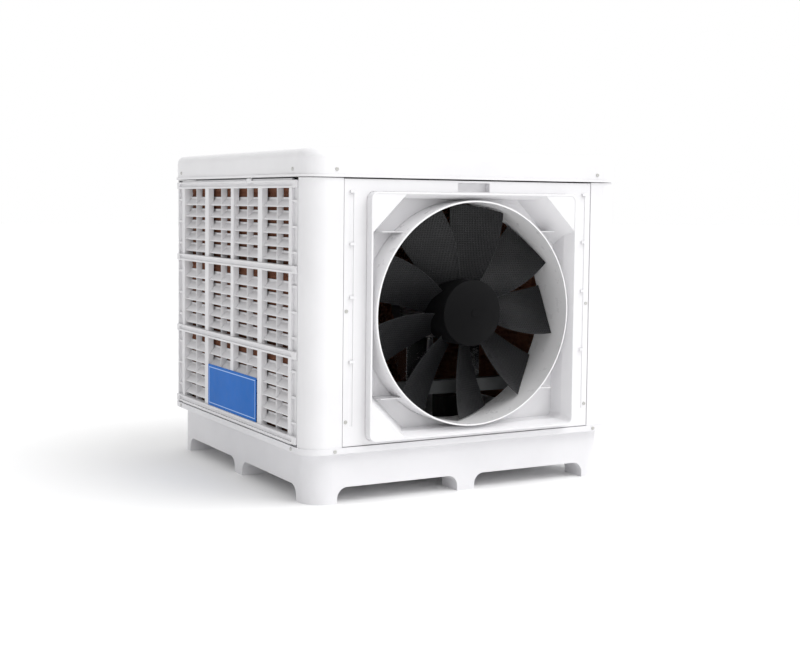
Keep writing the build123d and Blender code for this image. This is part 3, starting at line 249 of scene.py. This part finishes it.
WHITE = (0.83, 0.825, 0.84)
WHITE_SHADE = (0.775, 0.77, 0.785)
finishes = {
    "casing_plastic": moulded("casing_white", WHITE, WHITE_SHADE, 0.34, 1.0),
    # duct white: paler than the casing white, as painted light that brightens the shaded inside of the duct
    "duct_plastic": moulded("duct_white_painted_light", (0.90, 0.895, 0.905), (0.86, 0.855, 0.865), 0.30, 0.6),
    "base_plastic": moulded("base_white", (0.81, 0.805, 0.825), (0.74, 0.735, 0.755), 0.42, 1.4, 0.35, 0),
    "louvre_plastic": moulded("louvre_white", (0.80, 0.795, 0.81), (0.735, 0.73, 0.745), 0.42, 1.2, 0.35),
    "fan_plastic": dimpled_fan("fan_dimpled_black"),
    "pad_cellulose": cellulose("pad_cellulose_flutes"),
    "plate_blue": printed_plate("plate_blue_print"),
    "screw_steel": metal("screw_zinc", (0.62, 0.62, 0.60), (0.42, 0.41, 0.38), 0.30, scale=500.0),
    "shaft_steel": metal("shaft_ground", (0.60, 0.60, 0.61), (0.45, 0.45, 0.46), 0.22, (1, 18, 1)),
    "motor_aluminium": metal("motor_cast", (0.66, 0.66, 0.67), (0.42, 0.42, 0.42), 0.42, scale=260.0, depth=0.0003),
    "motor_core": metal("core_laminated", (0.28, 0.28, 0.29), (0.18, 0.16, 0.15), 0.5, (1, 60, 1), 60.0, 0.0003),
    "cowl_paint": moulded("cowl_black", (0.035, 0.038, 0.042), (0.06, 0.06, 0.062), 0.40, 1.0, 0.4),
    "bracket_steel": metal("bracket_stainless", (0.72, 0.72, 0.73), (0.55, 0.55, 0.55), 0.16, (1, 1, 30), 60.0),
    "beam_paint": moulded("beam_dark", (0.055, 0.06, 0.062), (0.08, 0.08, 0.08), 0.42, 1.2, 0.5),
    "pipe_plastic": moulded("pipe_grey", (0.46, 0.47, 0.48), (0.38, 0.39, 0.40), 0.40, 0.6),
    "pump_plastic": moulded("pump_black", (0.028, 0.028, 0.031), (0.05, 0.05, 0.052), 0.42, 1.6, 0.5),
    "valve_brass": metal("valve_brass", (0.72, 0.52, 0.20), (0.45, 0.30, 0.12), 0.28, (8, 1, 8)),
    "float_plastic": moulded("float_orange", (0.70, 0.16, 0.045), (0.60, 0.13, 0.04), 0.38, 1.0),
    "handle_plastic": moulded("handle_red", (0.52, 0.035, 0.03), (0.42, 0.03, 0.028), 0.38, 1.0),
    "box_plastic": moulded("box_grey", (0.34, 0.35, 0.36), (0.28, 0.29, 0.30), 0.44, 2.0),
    "gland_plastic": moulded("gland_black", (0.03, 0.03, 0.032), (0.05, 0.05, 0.05), 0.36, 1.0),
}
hub_finish = moulded("hub_black", (0.005, 0.005, 0.0055), (0.010, 0.010, 0.0105), 0.46, 1.0, 0.4, shine=0.05)
for part in frame["record"]["subparts"]:
    finish = finishes[part["material_slot"]]
    if part["node"] in ("fan_hub", "hub_cap"):
        finish = hub_finish
    for slot in nodes[part["node"]].material_slots:
        slot.material = finish


# ---------------------------------------------------------------- cooling pads
SHEETS = 94                   # glued sheets across a pad
FLUTE_PERIOD = 0.0200         # crest to crest, up the pad's face
FLUTE_SAMPLES = 6             # points round one flute
SHEET_THICKNESS = 0.0007
FLUTE_SLOPES = (math.tan(math.radians(45)), -math.tan(math.radians(30)))


def fluted_sheet(points, faces, smooth, x, width, depth, height, slope):
    """One corrugated sheet, as a thin closed ribbon whose flutes climb through the pad."""
    start = min(0.0, -slope * depth)
    end = max(height, height - slope * depth)
    step = FLUTE_PERIOD / FLUTE_SAMPLES
    stations = [start + step * i for i in range(1, int((end - start) / step))]
    stations += [0.0, height, -slope * depth, height - slope * depth]
    swing = width / 2 - SHEET_THICKNESS
    first = len(points)
    for s in sorted(set(stations)):
        crossings = sorted((-s / slope, (height - s) / slope))
        near = max(0.0, crossings[0])
        far = min(depth, crossings[1])
        if far < near:
            continue
        middle = x + swing * math.sin(2 * math.pi * s / FLUTE_PERIOD)
        for y in (near, far):
            for side in (-0.5, 0.5):
                points.append((middle + side * SHEET_THICKNESS, y, s + slope * y))
    count = (len(points) - first) // 4
    for i in range(count - 1):
        a = first + 4 * i
        b = a + 4
        faces += [(a, a + 2, b + 2, b), (a + 1, b + 1, b + 3, a + 3)]
        faces += [(a, b, b + 1, a + 1), (a + 2, a + 3, b + 3, b + 2)]
        smooth += [True, True, False, False]
    last = first + 4 * (count - 1)
    faces += [(first, first + 1, first + 3, first + 2), (last, last + 2, last + 3, last + 1)]
    smooth += [False, False]


def fluted_pad_mesh(width, depth, height):
    """A block of corrugated sheets whose flutes cross, standing on z = 0 behind y = 0."""
    points, faces, smooth = [], [], []
    pitch = width / SHEETS
    for i in range(SHEETS):
        x = -width / 2 + pitch * (i + 0.5)
        fluted_sheet(points, faces, smooth, x, pitch, depth, height, FLUTE_SLOPES[i % 2])
    mesh = bpy.data.meshes.new("fluted_pad")
    mesh.from_pydata(points, [], faces)
    mesh.polygons.foreach_set("use_smooth", smooth)
    mesh.update()
    mesh.materials.append(finishes["pad_cellulose"])
    return mesh


def pad_place(node, turn):
    """Where a pad's outer face lies: its middle at the foot, turned to face outwards."""
    low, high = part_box(node)
    middle = (low + high) / 2
    inward = Matrix.Rotation(math.radians(turn), 4, "Z") @ Vector((0, 1, 0))
    reach = abs((high - low).dot(inward)) / 2
    foot = Vector((middle.x, middle.y, low.z)) - inward * reach
    return Matrix.Translation(foot) @ Matrix.Rotation(math.radians(turn), 4, "Z")


pad_low, pad_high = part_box("cooling_pad_rear")
pad_size = pad_high - pad_low
pad_mesh = fluted_pad_mesh(pad_size.x, pad_size.y, pad_size.z)
for side, turn in (("left", -90), ("right", 90), ("rear", 180)):
    pad = bpy.data.objects.new("fluted_pad_" + side, pad_mesh)
    bpy.context.scene.collection.objects.link(pad)
    pad.matrix_world = pad_place("cooling_pad_" + side, turn)
    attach(pad, side + "_panel")
    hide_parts("cooling_pad_" + side)


# ---------------------------------------------------------------- studio
def soft_sun(name, source, strength, angle):
    """An even, very soft light from that direction."""
    light = bpy.data.lights.new(name, "SUN")
    light.energy = strength
    light.angle = math.radians(angle)
    lamp = bpy.data.objects.new(name, light)
    lamp.rotation_euler = Vector(source).to_track_quat("Z", "Y").to_euler()
    bpy.context.scene.collection.objects.link(lamp)


def studio_floor():
    """A wide pale floor with a faint mottle."""
    mesh = bpy.data.meshes.new("floor")
    r = 40.0
    mesh.from_pydata([(-r, -r, 0), (r, -r, 0), (r, r, 0), (-r, r, 0)], [], [(0, 1, 2, 3)])
    floor = bpy.data.objects.new("floor", mesh)
    bpy.context.scene.collection.objects.link(floor)
    f = Finish("floor_paper")
    mottle = f.noise(3.0, 4.0)
    body = f.mix(mottle, (0.95, 0.95, 0.95), (0.97, 0.97, 0.97))
    mesh.materials.append(f.done(body, 0.9))


def studio_world():
    """A pale surround, dimmer on the louvred side and brighter behind the object."""
    world = bpy.data.worlds.new("studio")
    bpy.context.scene.world = world
    world.use_nodes = True
    tree = world.node_tree
    back = tree.nodes["Background"]
    coords = tree.nodes.new("ShaderNodeTexCoord")
    split = tree.nodes.new("ShaderNodeSeparateXYZ")
    tree.links.new(coords.outputs["Generated"], split.inputs[0])
    ramp = tree.nodes.new("ShaderNodeMapRange")
    tree.links.new(split.outputs["X"], ramp.inputs["Value"])
    ramp.interpolation_type = "SMOOTHSTEP"
    ramp.inputs["From Min"].default_value = -0.95
    ramp.inputs["From Max"].default_value = -0.10
    ramp.inputs["To Min"].default_value = 0.42
    ramp.inputs["To Max"].default_value = 1.0
    tree.links.new(ramp.outputs["Result"], back.inputs["Strength"])
    back.inputs["Color"].default_value = (1, 1, 1, 1)


studio_floor()
studio_world()
soft_sun("key", (0.55, -0.55, 1.0), 1.5, 50)
bpy.context.scene.view_settings.view_transform = "Standard"

# ---------------------------------------------------------------- camera
CAMERA_PLACE = Vector((-2.1068, -3.8601, 0.8603))
CAMERA_YAW = math.radians(29.28)
CAMERA_PITCH = math.radians(3.51)
CAMERA_ROLL = -0.0107
ahead = Vector((
    math.sin(CAMERA_YAW) * math.cos(CAMERA_PITCH),
    math.cos(CAMERA_YAW) * math.cos(CAMERA_PITCH),
    -math.sin(CAMERA_PITCH),
))
level = Vector((math.cos(CAMERA_YAW), -math.sin(CAMERA_YAW), 0))
down = -level.cross(ahead)
right = math.cos(CAMERA_ROLL) * level + math.sin(CAMERA_ROLL) * down
up = math.sin(CAMERA_ROLL) * level - math.cos(CAMERA_ROLL) * down
lens = bpy.data.cameras.new("camera")
lens.sensor_width = 36.0
lens.lens = 59.63
lens.shift_y = -0.062
lens.clip_end = 200.0
camera = bpy.data.objects.new("camera", lens)
turn = Matrix((right, up, -ahead)).transposed().to_4x4()
camera.matrix_world = Matrix.Translation(CAMERA_PLACE) @ turn
bpy.context.scene.collection.objects.link(camera)
bpy.context.scene.camera = camera
